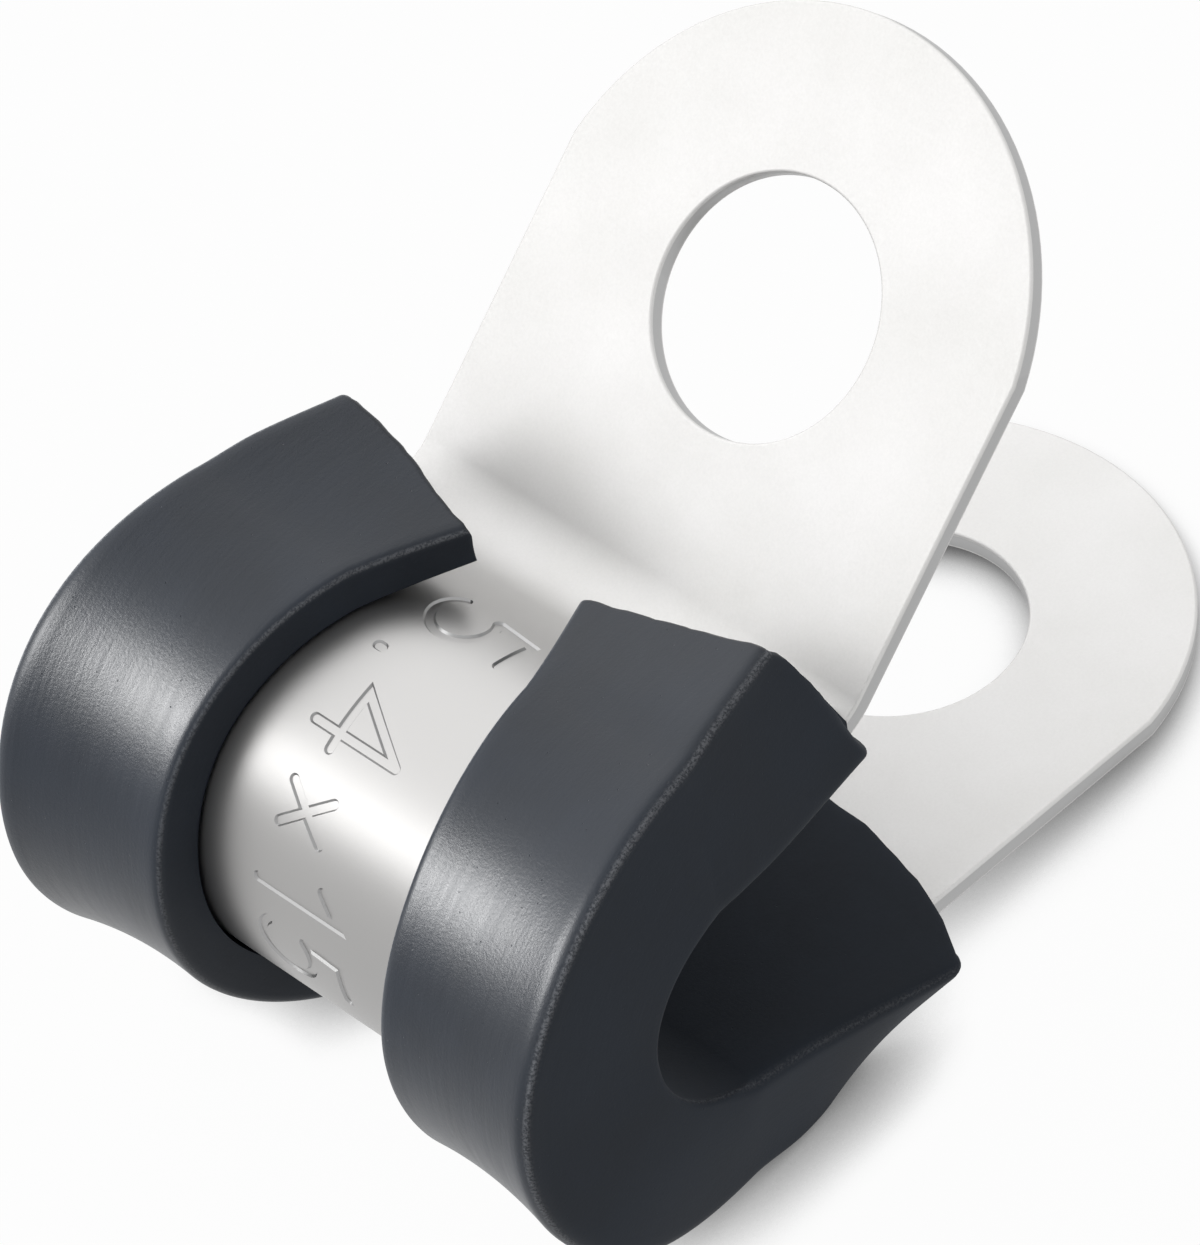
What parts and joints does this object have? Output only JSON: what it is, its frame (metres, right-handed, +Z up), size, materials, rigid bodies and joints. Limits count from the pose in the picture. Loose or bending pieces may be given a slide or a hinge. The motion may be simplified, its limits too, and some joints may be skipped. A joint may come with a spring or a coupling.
{
  "type": "cushioned p clip",
  "caption": "Rubber-lined metal P clip for a small cable, standing open: a looped strip with a drilled tab at each end and a grooved cushion round the loop.",
  "frame": {"origin": "middle of the clip's box, on the surface it rests on", "axes": "+X from the loop towards the tabs, +Y along the cable, +Z up as the clip lies at rest"},
  "size_m": [0.0276, 0.02, 0.0187],
  "materials": {
    "steel": "satin",
    "rubber": "satin"
  },
  "bodies": {
    "root": {"band": "steel", "cushion": "rubber"}
  },
  "joints": []
}
